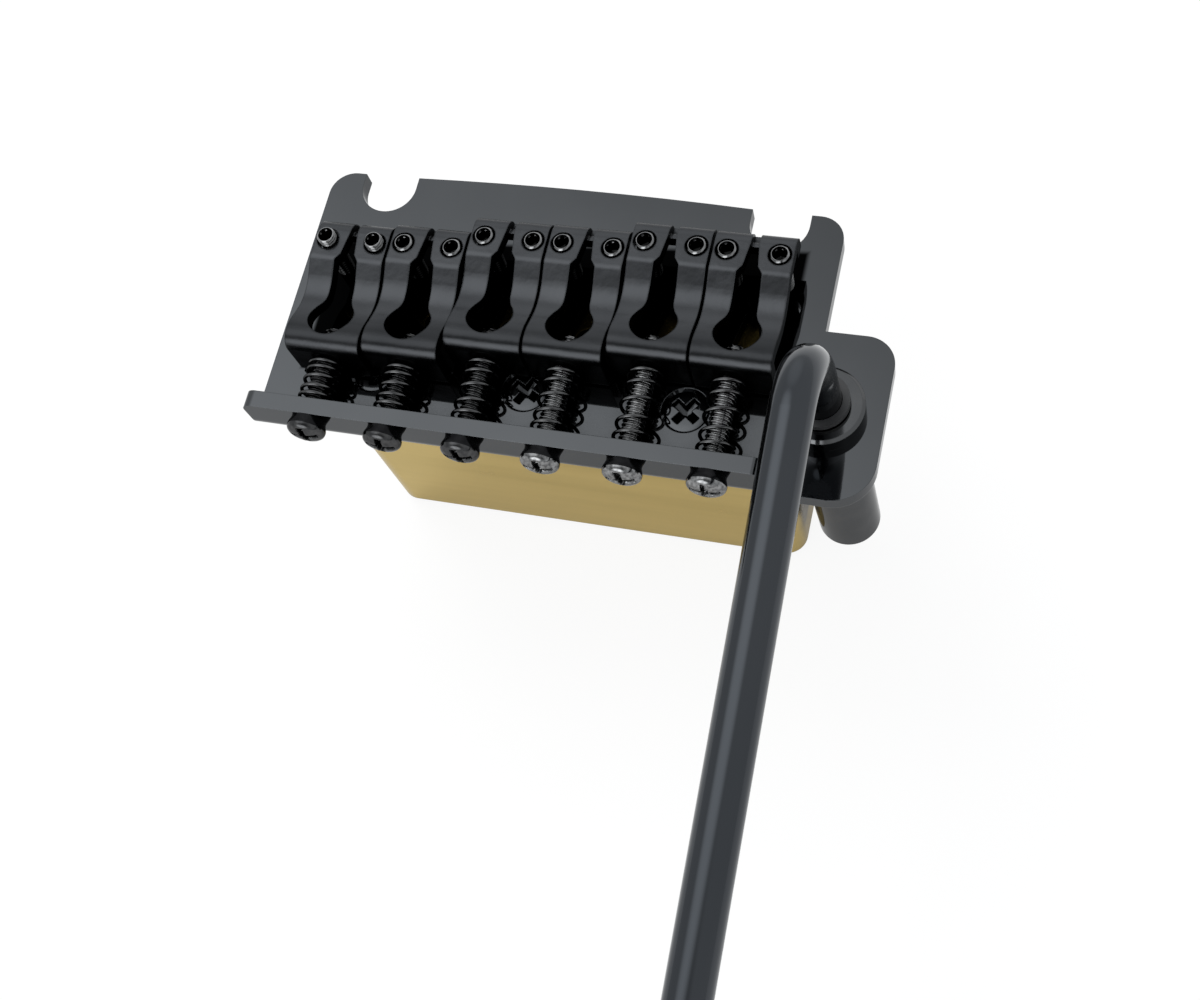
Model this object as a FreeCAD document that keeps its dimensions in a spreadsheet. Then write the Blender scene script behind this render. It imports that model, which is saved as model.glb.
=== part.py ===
"""Six-saddle guitar tremolo bridge: bent steel plate, brass block, bent saddles and a push-in arm.

Frame: +X runs across the strings to the treble side, +Y towards the neck, +Z up.
The origin is midway between the two pivot posts, on the plate's top face. Sizes are in millimetres.
"""
import FreeCAD
import Part

import os
from math import atan2, cos, pi, radians, sin, sqrt
from types import SimpleNamespace

import Sketcher

Vector = FreeCAD.Vector
STRINGS = 6
MIDDLE_STRING = (STRINGS - 1) / 2
BLOCK_SCREWS = (-1, 0, 1)
SPRING_HOLES = (-2, -1, 0, 1, 2)
BASS_STRINGS = (0, 1)
COIL_SAMPLES = 60
RIGHT_ANGLE = 90
# How many times a size a cutter reaches, so that it passes well beyond what it cuts
REACH = 3
UP = Vector(0, 0, 1)
TOLERANCE = 1e-4

# Driving dimensions: alias, size in millimetres (or degrees, or a count), and what it is
SIZES = (
    ("string_pitch", 10.8, "distance from string to string"),
    ("post_spacing", 56.0, "distance between the two pivot posts"),
    ("notch_radius", 4.0, "radius of the pivot notches"),
    ("plate_thick", 2.3, "thickness of the base plate"),
    ("plate_half", 36.75, "half the width of the plate at the posts"),
    ("panel_front", 2.35, "front edge of the middle panel ahead of the posts"),
    ("panel_bow", 0.5, "how far the panel's front edge bows out"),
    ("tab_front", 1.75, "front edge of the outer tabs ahead of the posts"),
    ("tab_corner", 3.5, "corner radius of the outer tabs"),
    ("wing_reach", 46.2, "treble edge of the wing that carries the arm"),
    ("wing_front", 15.05, "front edge of the wing behind the posts"),
    ("wing_front_corner", 4.0, "front corner radius of the wing"),
    ("wing_rear_corner", 5.5, "rear corner radius of the wing"),
    ("plate_rear", 38.05, "rear edge of the plate behind the posts"),
    ("flange_top", 5.2, "height of the rear flange above the plate"),
    ("flange_thick", 2.3, "thickness of the rear flange"),
    ("flange_end", 33.5, "treble end of the rear flange"),
    ("flange_corner", 1.6, "corner radius at the flange's upper ends"),
    ("flange_bend", 3.0, "outer bend radius under the flange"),
    ("flange_slit", 0.5, "slit between the flange and the wing"),
    ("string_slot_front", 14.55, "front tip of the plate's string slots behind the posts"),
    ("string_slot_tip", 0.8, "tip radius of the string slots"),
    ("string_hole_back", 19.15, "string holes behind the posts"),
    ("string_slot_radius", 2.0, "wide radius of the string slots"),
    ("block_left", 30.7, "bass end of the block"),
    ("block_right", 33.9, "treble end of the block"),
    ("block_rear", 31.25, "rear face of the block behind the posts"),
    ("block_depth", 17.5, "depth of the block from front to rear"),
    ("block_height", 38.9, "height of the block"),
    ("block_corner", 3.0, "radius of the block's upright edges"),
    ("block_edge", 0.8, "rounding of the block's bottom edge"),
    ("string_hole_radius", 1.7, "radius of the string holes in the block"),
    ("ball_recess_radius", 3.2, "radius of the recesses for the string ends"),
    ("ball_recess_depth", 14.0, "depth of the recesses for the string ends"),
    ("spring_hole_radius", 1.5, "radius of the holes for the body springs"),
    ("spring_hole_depth", 9.0, "depth of the holes for the body springs"),
    ("spring_hole_inset", 2.85, "body spring holes behind the block's front"),
    ("block_screw_pitch", 21.6, "distance between the block's screws"),
    ("block_screw_back", 28.45, "block screws behind the posts"),
    ("block_screw_radius", 1.75, "radius of the block screws"),
    ("block_screw_length", 15.0, "length of the block screws below the plate's top"),
    ("block_screw_head", 2.9, "head radius of the block screws"),
    ("block_screw_sink", 0.25, "how far the heads lie below the plate's top"),
    ("countersink", 1.15, "depth of the plate's countersinks"),
    ("fit_gap", 0.05, "clearance of fixed pieces in their holes"),
    ("screw_axis", 3.0, "height of the intonation screws above the plate"),
    ("screw_offset", 0.5, "intonation and block screws to the bass side of the strings' middles"),
    ("screw_radius", 1.5, "radius of the intonation screws"),
    ("screw_gap", 0.08, "running clearance of the intonation screws in the flange"),
    ("screw_lead", 4.7, "screw tips ahead of the saddles' rear faces"),
    ("head_foot", 2.3, "head radius of the intonation screws where they meet the flange"),
    ("head_radius", 2.6, "largest head radius of the intonation screws"),
    ("head_rim", 1.3, "height of the heads' flared rim"),
    ("head_height", 2.4, "height of the heads"),
    ("screw_tip_edge", 0.4, "chamfer at the tips of the intonation screws"),
    ("seat_gap", 0.02, "gap under the screw heads and under the bush"),
    ("saddle_width", 10.4, "width of a saddle"),
    ("saddle_sheet", 1.8, "thickness of a saddle's steel"),
    ("pad_top", 7.9, "height of a saddle's pad above the plate"),
    ("saddle_front", 3.5, "front face of a saddle ahead of its height screws"),
    ("saddle_rear", 16.0, "rear face of a saddle behind its height screws"),
    ("lip_foot", 4.4, "lower edge of a saddle's front lip above the plate"),
    ("rear_foot", 0.5, "lower edge of a saddle's rear wall above the plate"),
    ("crease_back", 2.8, "crease behind the pad"),
    ("valley_back", 7.6, "lowest point of a saddle's legs behind its height screws"),
    ("valley_top", 5.5, "height of the corner of the legs before it is rounded"),
    ("rise_round", 4.0, "rounding where the legs reach the rear"),
    ("rise_back", 12.9, "end of the legs' rise behind the height screws"),
    ("front_bend", 2.2, "outer bend radius at a saddle's front"),
    ("rear_bend", 2.0, "outer bend radius at a saddle's rear"),
    ("crease_round", 1.5, "rounding of the crease"),
    ("valley_round", 6.0, "rounding of the legs' valley"),
    ("groove_depth", 1.0, "depth of the string groove over a saddle's front bend"),
    ("neck_front_half", 0.55, "half width of a saddle's slot and groove at the front"),
    ("neck_half", 1.0, "half width of the slot at the rear of its neck"),
    ("neck_back", 2.0, "rear end of the slot's neck"),
    ("shoulder_half", 1.65, "half width of the slot at its shoulder"),
    ("shoulder_back", 2.9, "shoulder of the slot behind the height screws"),
    ("waist_half", 1.75, "half width of the slot at its waist"),
    ("waist_flare", 3.0, "radius of the flare from the slot's waist to its round end"),
    ("bulb_radius", 3.05, "radius of the slot's round rear end"),
    ("bulb_back", 11.0, "centre of the slot's round rear end"),
    ("saddle_tilt_gap", 0.3, "clearance round the height screws for the saddle's tilt"),
    ("saddle_screw_gap", 0.15, "clearance of a saddle round its intonation screw"),
    ("height_screw_offset", 3.42, "height screws beside the saddle's middle"),
    ("height_screw_radius", 1.25, "radius of the height screws"),
    ("height_screw_top", 8.2, "top of the height screws above the plate"),
    ("height_screw_foot", 0.02, "lower end of the height screws above the plate"),
    ("height_screw_edge", 0.2, "chamfer at both ends of the height screws"),
    ("hex_across", 1.6, "hexagon socket of the height screws across its flats"),
    ("hex_depth", 2.2, "depth of the hexagon sockets"),
    ("bass_screw_top", 9.0, "top of the bass saddle's height screws above the plate"),
    ("setback_1", 13.57, "height screws of saddle 1, the bass string, behind the posts"),
    ("setback_2", 13.0, "height screws of saddle 2 behind the posts"),
    ("setback_3", 10.72, "height screws of saddle 3 behind the posts"),
    ("setback_4", 10.58, "height screws of saddle 4 behind the posts"),
    ("setback_5", 9.05, "height screws of saddle 5 behind the posts"),
    ("setback_6", 9.13, "height screws of saddle 6, the treble string, behind the posts"),
    ("coil_radius", 2.15, "mean radius of the intonation springs"),
    ("coil_wire", 0.5, "wire diameter of the intonation springs"),
    ("coil_bend", 0.6, "bend radius from a spring's coil to its straight feet"),
    ("coil_turns", 5.0, "turns of an intonation spring"),
    ("coil_turns_bass", 4.0, "turns of the shorter springs of the two bass strings"),
    ("arm_across", 38.42, "arm axis to the treble side of the middle"),
    ("arm_back", 26.33, "arm axis behind the posts"),
    ("arm_lean", 2.7, "lean of the arm axis in degrees"),
    ("arm_radius", 2.75, "radius of the arm"),
    ("arm_foot", 19.0, "lower end of the arm below the plate's top"),
    ("arm_height", 19.6, "height of the arm's level run where it crosses its axis"),
    ("arm_drop", 7.0, "downward slope of the arm's run in degrees"),
    ("arm_bend", 8.0, "bend radius of the arm's middle line"),
    ("arm_length", 132.0, "reach of the arm's metal from its axis"),
    ("arm_foot_edge", 0.6, "chamfer at the arm's lower end"),
    ("tip_length", 24.0, "length of the arm's tip cap"),
    ("tip_radius", 4.0, "largest radius of the tip cap"),
    ("tip_neck", 3.3, "radius of the tip cap where the arm goes in"),
    ("tip_overlap", 9.0, "how deep the arm goes into the tip cap"),
    ("bush_radius", 3.45, "outer radius of the nylon bush"),
    ("bush_foot", 20.0, "lower end of the bush below the plate's top"),
    ("bush_floor", 0.8, "thickness of the bush's floor"),
    ("arm_gap", 0.05, "running clearance of the arm in its bush and the bush in its socket"),
    ("bush_rim", 3.75, "radius of the bush's rim on top of the collar"),
    ("bush_rim_height", 0.9, "height of the bush's rim"),
    ("neck_radius", 4.1, "outer radius of the socket in the plate"),
    ("collar_radius", 5.4, "radius of the socket's collar on top of the plate"),
    ("collar_top", 2.5, "height of the collar above the plate"),
    ("collar_edge", 0.4, "chamfer of the collar's upper edge"),
    ("socket_radius", 4.4, "outer radius of the socket below the plate"),
    ("socket_foot", 35.2, "lower end of the socket below the plate's top"),
    ("socket_edge", 0.5, "rounding of the socket's lower edge"),
)


class Dim:
    """A size with its value and the formula that binds it to the sheet."""

    def __init__(self, value, text):
        self.value = float(value)
        self.text = text

    def __add__(self, other):
        other = dim(other)
        return Dim(self.value + other.value, f"({self.text} + {other.text})")

    def __sub__(self, other):
        other = dim(other)
        return Dim(self.value - other.value, f"({self.text} - {other.text})")

    def __mul__(self, other):
        other = dim(other)
        return Dim(self.value * other.value, f"({self.text} * {other.text})")

    def __truediv__(self, other):
        other = dim(other)
        return Dim(self.value / other.value, f"({self.text} / {other.text})")

    def __neg__(self):
        return Dim(-self.value, f"(-1 * {self.text})")

    __radd__ = __add__
    __rmul__ = __mul__


def dim(number):
    """Return number as a Dim."""
    return number if isinstance(number, Dim) else Dim(number, repr(float(number)))


def cosine(angle):
    """Cosine of an angle in degrees."""
    return Dim(cos(radians(angle.value)), f"cos({angle.text})")


def sine(angle):
    """Sine of an angle in degrees."""
    return Dim(sin(radians(angle.value)), f"sin({angle.text})")


def root(area):
    """Square root."""
    return Dim(sqrt(area.value), f"sqrt({area.text})")


def half_turn_tangent(rise, run):
    """Tangent of half the angle whose tangent is rise over run."""
    slope = atan2(rise.value, run.value)
    return Dim(sin(slope / 2) / cos(slope / 2), f"tan(atan({rise.text} / {run.text}) / 2)")


def fill_sheet(doc):
    """Write the driving dimensions to a sheet and return them as Dims."""
    sheet = doc.addObject("Spreadsheet::Sheet", "Sizes")
    found = {}
    for row, (alias, value, meaning) in enumerate(SIZES, start=1):
        sheet.set(f"A{row}", meaning)
        sheet.set(f"B{row}", str(value))
        sheet.setAlias(f"B{row}", alias)
        found[alias] = Dim(value, f"Sizes.{alias}")
    doc.recompute()
    return SimpleNamespace(**found)


doc = FreeCAD.newDocument("TremoloBridge")
size = fill_sheet(doc)
ZERO = dim(0)


def bind(item, **formulas):
    """Bind properties of item to formulas, with dots in a property's name written as double lines."""
    for name, formula in formulas.items():
        path = name.replace("__", ".")
        item.setExpression(path, dim(formula).text)


def place(item, across=ZERO, along=ZERO, height=ZERO):
    """Bind the position of item."""
    item.Placement.Base = Vector(across.value, along.value, height.value)
    bind(item, Placement__Base__x=across, Placement__Base__y=along, Placement__Base__z=height)


def new_body(label):
    """Start a body with its own label."""
    body = doc.addObject("PartDesign::Body", label)
    body.Label = label
    return body


def new_sketch(body, role, offset=ZERO):
    """Start a sketch on one of the body's origin planes, moved by offset along the plane's normal."""
    sketch = body.newObject("Sketcher::SketchObject", "Sketch")
    plane = next(item for item in body.Origin.OriginFeatures if item.Role == role)
    sketch.AttachmentSupport = [(plane, "")]
    sketch.MapMode = "FlatFace"
    sketch.AttachmentOffset.Base = Vector(0, 0, offset.value)
    bind(sketch, AttachmentOffset__Base__z=offset)
    return sketch


def constrain(sketch, kind, *where, to):
    """Add a constraint bound to a formula."""
    index = sketch.addConstraint(Sketcher.Constraint(kind, *where, to.value))
    sketch.setExpression(f"Constraints[{index}]", to.text)


def pin_point(sketch, curve, end, across, up):
    """Fix a point of a curve at its distances from the sketch's origin."""
    constrain(sketch, "DistanceX", -1, 1, curve, end, to=across)
    constrain(sketch, "DistanceY", -1, 1, curve, end, to=up)


def short_arc(start, end, radius, turn):
    """Arc of under a half circle from start to end: turn is 1 to the left, -1 to the right."""
    chord = end - start
    left = Vector(-chord.y, chord.x, 0).normalize()
    centre_offset = sqrt(max(radius ** 2 - (chord.Length / 2) ** 2, 0))
    centre = (start + end) / 2 + left * centre_offset * turn
    first, last = (start, end) if turn > 0 else (end, start)
    angle = [atan2(point.y - centre.y, point.x - centre.x) for point in (first, last)]
    return Part.ArcOfCircle(Part.Circle(centre, UP, radius), angle[0], angle[1])


def draw_outline(sketch, path):
    """Draw a closed outline: each entry is a corner (x, y), or (x, y, radius, turn) reached by an arc."""
    corners = [Vector(entry[0].value, entry[1].value, 0) for entry in path]
    curves = []
    for number, entry in enumerate(path):
        start, end = corners[number - 1], corners[number]
        if len(entry) == 2:
            curves.append((sketch.addGeometry(Part.LineSegment(start, end), False), 1, 2))
            continue
        radius, turn = entry[2:]
        curve = sketch.addGeometry(short_arc(start, end, radius.value, turn), False)
        curves.append((curve, 1, 2) if turn > 0 else (curve, 2, 1))
        constrain(sketch, "Radius", curve, to=radius)
    for number, entry in enumerate(path):
        curve, _, last = curves[number]
        follower, first, _ = curves[(number + 1) % len(path)]
        sketch.addConstraint(Sketcher.Constraint("Coincident", curve, last, follower, first))
        pin_point(sketch, curve, last, entry[0], entry[1])


def draw_circle(sketch, across, up, radius):
    """Draw a circle with a fixed centre and radius."""
    circle = Part.Circle(Vector(across.value, up.value, 0), UP, radius.value)
    curve = sketch.addGeometry(circle, False)
    pin_point(sketch, curve, 3, across, up)
    constrain(sketch, "Radius", curve, to=radius)


def add_pad(body, sketch, length, symmetric=False, reverse=False):
    """Pad a sketch."""
    pad = body.newObject("PartDesign::Pad", "Pad")
    pad.Profile = sketch
    pad.SideType = "Symmetric" if symmetric else "One side"
    pad.Reversed = reverse
    bind(pad, Length=length)
    doc.recompute()
    return pad


def add_pocket(body, sketch, length=None, symmetric=False, reverse=False):
    """Cut a sketch out of a body, right through where no length is given, and see that it did cut."""
    before = body.Shape.Volume
    pocket = body.newObject("PartDesign::Pocket", "Pocket")
    pocket.Profile = sketch
    pocket.SideType = "Symmetric" if symmetric else "One side"
    pocket.Reversed = reverse
    if length is None:
        pocket.Type = "ThroughAll"
    else:
        bind(pocket, Length=length)
    doc.recompute()
    if body.Shape.Volume >= before:
        raise ValueError(f"a cut in {body.Label} removes nothing")
    return pocket


def add_turned(body, sketch, axis):
    """Turn a half profile about one of its sketch's axes."""
    turned = body.newObject("PartDesign::Revolution", "Revolution")
    turned.Profile = sketch
    turned.ReferenceAxis = (sketch, [axis])
    doc.recompute()
    return turned


def edges_where(feature, test):
    """Names of the edges of a feature that pass a test."""
    return [f"Edge{number}" for number, edge in enumerate(feature.Shape.Edges, start=1) if test(edge)]


def add_fillet(body, base, test, radius):
    """Round the edges that pass a test."""
    fillet = body.newObject("PartDesign::Fillet", "Fillet")
    fillet.Base = (base, edges_where(base, test))
    bind(fillet, Radius=radius)
    doc.recompute()
    return fillet


def add_chamfer(body, base, test, width):
    """Chamfer the edges that pass a test."""
    chamfer = body.newObject("PartDesign::Chamfer", "Chamfer")
    chamfer.Base = (base, edges_where(base, test))
    bind(chamfer, Size=width)
    doc.recompute()
    return chamfer


def lies_along_x(edge, along, height):
    """Whether a straight edge runs along X at a place in the side view."""
    ends = [vertex.Point for vertex in edge.Vertexes]
    spot = Vector(ends[0].x, along.value, height.value)
    return len(ends) == 2 and all(abs(end.y - spot.y) + abs(end.z - spot.z) < TOLERANCE for end in ends)


def is_level_circle(edge, height):
    """Whether an edge is a full circle that lies level at a height."""
    closed = len(edge.Vertexes) == 1 and hasattr(edge.Curve, "Radius")
    return closed and abs(edge.Vertexes[0].Z - height.value) < TOLERANCE


def string_across(number):
    """Place of a string across the bridge, counted from 0 on the bass side."""
    return size.string_pitch * (number - MIDDLE_STRING)


def block_screw_across(column):
    """Place of a block screw across the bridge, between two intonation screws."""
    return size.block_screw_pitch * column - size.screw_offset


def screw_across(number):
    """Place of an intonation screw across the bridge."""
    return string_across(number) - size.screw_offset


def setback(number):
    """Place of a saddle's height screws along the bridge."""
    return -getattr(size, f"setback_{number + 1}")


def saddle_back(number):
    """Place of a saddle's rear face along the bridge."""
    return setback(number) - size.saddle_rear


def flange_face():
    """Front face of the rear flange."""
    return size.flange_thick - size.plate_rear


def notch_path(side):
    """Corners of a pivot notch, from its left mouth to its right mouth."""
    middle = size.post_spacing / 2 * side
    outer, inner = size.tab_front, size.panel_front - size.panel_bow
    left_mouth, right_mouth = (outer, inner) if side < 0 else (inner, outer)
    return [
        (middle - size.notch_radius, left_mouth),
        (middle - size.notch_radius, ZERO),
        (middle, -size.notch_radius, size.notch_radius, 1),
        (middle + size.notch_radius, ZERO, size.notch_radius, 1),
        (middle + size.notch_radius, right_mouth),
    ]


def panel_bow_radius():
    """Radius of the arc through the panel's two front corners and its bowed middle."""
    half = size.post_spacing / 2 - size.notch_radius
    return (half * half + size.panel_bow * size.panel_bow) / (size.panel_bow * 2)


def make_plate():
    """Base plate with pivot notches, arm wing, bent-up rear flange and holes."""
    body = new_body("plate_blank")
    rear_foot = size.flange_bend - size.plate_rear
    half, edge = size.plate_half, size.wing_reach
    panel_corner = size.post_spacing / 2 - size.notch_radius
    slit_end = size.flange_end + size.flange_slit
    corner = size.tab_corner
    outline = new_sketch(body, "XY_Plane")
    draw_outline(outline, [
        (-half, rear_foot),
        (-half, size.tab_front - corner),
        (corner - half, size.tab_front, corner, -1),
        *notch_path(-1),
        (panel_corner, size.panel_front - size.panel_bow, panel_bow_radius(), -1),
        *notch_path(1)[1:],
        (half - corner, size.tab_front),
        (half, size.tab_front - corner, corner, -1),
        (half, -size.wing_front),
        (edge - size.wing_front_corner, -size.wing_front),
        (edge, -size.wing_front - size.wing_front_corner, size.wing_front_corner, -1),
        (edge, size.wing_rear_corner - size.plate_rear),
        (edge - size.wing_rear_corner, -size.plate_rear, size.wing_rear_corner, -1),
        (slit_end, -size.plate_rear),
        (slit_end, rear_foot),
    ])
    add_pad(body, outline, size.plate_thick, reverse=True)

    side = new_sketch(body, "YZ_Plane", -half)
    inner = size.flange_bend - size.flange_thick
    draw_outline(side, [
        (rear_foot, -size.plate_thick, size.flange_bend, 1),
        (rear_foot, ZERO),
        (flange_face(), inner, inner, -1),
        (flange_face(), size.flange_top),
        (-size.plate_rear, size.flange_top),
        (-size.plate_rear, size.flange_bend - size.plate_thick),
    ])
    flange = add_pad(body, side, half + size.flange_end)
    add_fillet(body, flange, is_flange_end, size.flange_corner)

    slots = new_sketch(body, "XY_Plane")
    for number in range(STRINGS):
        draw_outline(slots, string_slot_path(string_across(number)))
    add_pocket(body, slots)

    seats = new_sketch(body, "XY_Plane")
    for column in BLOCK_SCREWS:
        draw_circle(seats, block_screw_across(column), -size.block_screw_back, screw_hole_radius())
    sunk = add_pocket(body, seats)
    add_chamfer(body, sunk, is_screw_seat, size.countersink)

    eyes = new_sketch(body, "XZ_Plane")
    for number in range(STRINGS):
        draw_circle(eyes, screw_across(number), size.screw_axis, size.screw_radius + size.screw_gap)
    add_pocket(body, eyes, reverse=True)

    hole = leaning_cylinder("socket_hole", size.neck_radius + size.fit_gap,
                            -size.plate_thick * REACH, size.plate_thick * REACH)
    return cut("base_plate", body, hole)


def is_flange_end(edge):
    """Whether an edge is one of the two short edges at the flange's upper ends."""
    ends = [vertex.Point for vertex in edge.Vertexes]
    at_top = all(abs(end.z - size.flange_top.value) < TOLERANCE for end in ends)
    return len(ends) == 2 and at_top and abs(ends[0].x - ends[1].x) < TOLERANCE


def screw_hole_radius():
    """Radius of the holes for the block screws in the plate."""
    return size.block_screw_head - size.countersink + size.block_screw_sink + size.fit_gap


def is_screw_seat(edge):
    """Whether an edge is the upper rim of a block screw's hole."""
    return is_level_circle(edge, ZERO) and abs(edge.Curve.Radius - screw_hole_radius().value) < TOLERANCE


def string_slot_path(across):
    """Pear-shaped outline of a string slot: a round hole drawn out to a narrow front tip."""
    tip_middle = size.string_slot_tip - size.string_slot_front
    hole_middle = -size.string_hole_back
    return [
        (across + size.string_slot_tip, tip_middle),
        (across, -size.string_slot_front, size.string_slot_tip, 1),
        (across - size.string_slot_tip, tip_middle, size.string_slot_tip, 1),
        (across - size.string_slot_radius, hole_middle),
        (across, hole_middle - size.string_slot_radius, size.string_slot_radius, 1),
        (across + size.string_slot_radius, hole_middle, size.string_slot_radius, 1),
    ]


def make_block():
    """Brass block with string holes, recesses for the string ends and holes for the body springs."""
    body = new_body("sustain_block")
    front = size.block_depth - size.block_rear
    back, corner = -size.block_rear, size.block_corner
    left, right = -size.block_left, size.block_right
    outline = new_sketch(body, "XY_Plane", -size.plate_thick)
    draw_outline(outline, [
        (left, back + corner, corner, -1),
        (left, front - corner),
        (left + corner, front, corner, -1),
        (right - corner, front),
        (right, front - corner, corner, -1),
        (right, back + corner),
        (right - corner, back, corner, -1),
        (left + corner, back),
    ])
    blank = add_pad(body, outline, size.block_height, reverse=True)
    bottom = -size.plate_thick - size.block_height
    add_fillet(body, blank, lambda edge: lies_level(edge, bottom), size.block_edge)

    holes = new_sketch(body, "XY_Plane", -size.plate_thick)
    recesses = new_sketch(body, "XY_Plane", bottom)
    for number in range(STRINGS):
        draw_circle(holes, string_across(number), -size.string_hole_back, size.string_hole_radius)
        draw_circle(recesses, string_across(number), -size.string_hole_back, size.ball_recess_radius)
    add_pocket(body, holes)
    add_pocket(body, recesses, size.ball_recess_depth, reverse=True)

    hooks = new_sketch(body, "XY_Plane", bottom)
    for column in SPRING_HOLES:
        draw_circle(hooks, size.string_pitch * column, front - size.spring_hole_inset, size.spring_hole_radius)
    add_pocket(body, hooks, size.spring_hole_depth, reverse=True)

    taps = new_sketch(body, "XY_Plane", -size.plate_thick)
    for column in BLOCK_SCREWS:
        draw_circle(taps, block_screw_across(column), -size.block_screw_back,
                    size.block_screw_radius + size.fit_gap)
    add_pocket(body, taps, size.block_screw_length)
    return body


def lies_level(edge, height):
    """Whether a whole edge lies at a height."""
    box = edge.BoundBox
    return max(abs(box.ZMin - height.value), abs(box.ZMax - height.value)) < TOLERANCE


def make_block_screws():
    """Three countersunk screws that hold the plate on the block."""
    screws = []
    head_top = -size.block_screw_sink
    head_foot = -size.countersink - size.fit_gap
    neck = size.block_screw_head - (head_top - head_foot)
    for column in BLOCK_SCREWS:
        body = new_body(f"block_screw_{column + 2}")
        profile = new_sketch(body, "XZ_Plane")
        draw_outline(profile, [
            (ZERO, head_top),
            (size.block_screw_head, head_top),
            (neck, head_foot),
            (size.block_screw_radius, head_foot),
            (size.block_screw_radius, -size.block_screw_length),
            (ZERO, -size.block_screw_length),
        ])
        add_turned(body, profile, "V_Axis")
        place(body, block_screw_across(column), -size.block_screw_back)
        screws.append(body)
    return group("block_screws", screws)


def saddle_path():
    """Side view of a bent saddle: front lip, flat pad, dipped legs and rear wall, all of one thickness."""
    front, rear, sheet = size.saddle_front, -size.saddle_rear, size.saddle_sheet
    top, under = size.pad_top, size.pad_top - size.saddle_sheet
    drop = size.pad_top - size.valley_top
    fall_run = size.valley_back - size.crease_back
    rise_run = size.rise_back - size.valley_back
    crease_under = sheet * half_turn_tangent(drop, fall_run) - size.crease_back
    rise_under = -(sheet * half_turn_tangent(drop, rise_run)) - size.rise_back
    valley_under = (crease_under * rise_run + rise_under * fall_run) / (fall_run + rise_run)
    valley_foot = under - drop * (crease_under - valley_under) / fall_run
    return SimpleNamespace(
        lip=(front, size.lip_foot), nose=(front, top), crease=(-size.crease_back, top),
        valley=(-size.valley_back, size.valley_top), rise=(-size.rise_back, top), heel=(rear, top),
        foot=(rear, size.rear_foot), foot_inner=(rear + sheet, size.rear_foot),
        heel_inner=(rear + sheet, under), rise_inner=(rise_under, under),
        valley_inner=(valley_under, valley_foot), crease_inner=(crease_under, under),
        nose_inner=(front - sheet, under), lip_inner=(front - sheet, size.lip_foot))


def slot_path():
    """Bottle-shaped string slot of a saddle, seen from above, with a waist that flares to a round end."""
    front = size.saddle_front - size.front_bend
    bulb, flare = size.bulb_radius, size.waist_flare
    flare_across = size.waist_half + flare
    flare_ahead = root((bulb + flare) * (bulb + flare) - flare_across * flare_across)
    share = bulb / (bulb + flare)
    right = [
        (size.neck_half, -size.neck_back),
        (size.shoulder_half, -size.shoulder_back),
        (size.waist_half, flare_ahead - size.bulb_back),
        (flare_across * share, flare_ahead * share - size.bulb_back, flare, 1),
    ]
    rear_end = (ZERO, -size.bulb_back - bulb, bulb, -1)
    left = [(-across, along) for across, along, *_ in reversed(right)]
    return [
        (-size.neck_front_half, front),
        (size.neck_front_half, front),
        *right,
        rear_end,
        (*left[0], bulb, -1),
        (*left[1], flare, 1),
        *left[2:],
    ]


def groove_path():
    """String groove over the front bend: the corner outside a smaller crown."""
    crown = size.front_bend - size.groove_depth
    along = size.saddle_front - size.front_bend
    height = size.pad_top - size.front_bend
    return [
        (along, height + crown),
        (along + crown, height, crown, -1),
        (size.saddle_front + size.groove_depth, height),
        (size.saddle_front + size.groove_depth, size.pad_top + size.groove_depth),
        (along, size.pad_top + size.groove_depth),
    ]


def make_saddle(number):
    """One bent-steel saddle in its own frame, with the height screws' line at its origin."""
    body = new_body(f"saddle_{number + 1}")
    spots = saddle_path()
    profile = new_sketch(body, "YZ_Plane")
    draw_outline(profile, list(vars(spots).values()))
    feature = add_pad(body, profile, size.saddle_width, symmetric=True)
    bends = (
        (spots.nose, size.front_bend), (spots.nose_inner, size.front_bend - size.saddle_sheet),
        (spots.heel, size.rear_bend), (spots.heel_inner, size.rear_bend - size.saddle_sheet),
        (spots.crease, size.crease_round), (spots.valley, size.valley_round),
        (spots.valley_inner, size.valley_round + size.saddle_sheet), (spots.rise, size.rise_round),
        (spots.rise_inner, size.rise_round - size.saddle_sheet))
    for spot, radius in bends:
        feature = add_fillet(body, feature, lambda edge, at=spot: lies_along_x(edge, *at), radius)

    slot = new_sketch(body, "XY_Plane")
    draw_outline(slot, slot_path())
    add_pocket(body, slot, reverse=True)
    groove = new_sketch(body, "YZ_Plane")
    draw_outline(groove, groove_path())
    add_pocket(body, groove, size.neck_front_half * 2, symmetric=True)
    screw_holes = new_sketch(body, "XY_Plane")
    for side in (-1, 1):
        draw_circle(screw_holes, size.height_screw_offset * side, ZERO,
                    size.height_screw_radius + size.saddle_tilt_gap)
    add_pocket(body, screw_holes, reverse=True)
    eye = new_sketch(body, "XZ_Plane")
    draw_circle(eye, -size.screw_offset, size.screw_axis, size.screw_radius + size.saddle_screw_gap)
    add_pocket(body, eye, reverse=True)
    place(body, string_across(number), setback(number))
    return body


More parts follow.
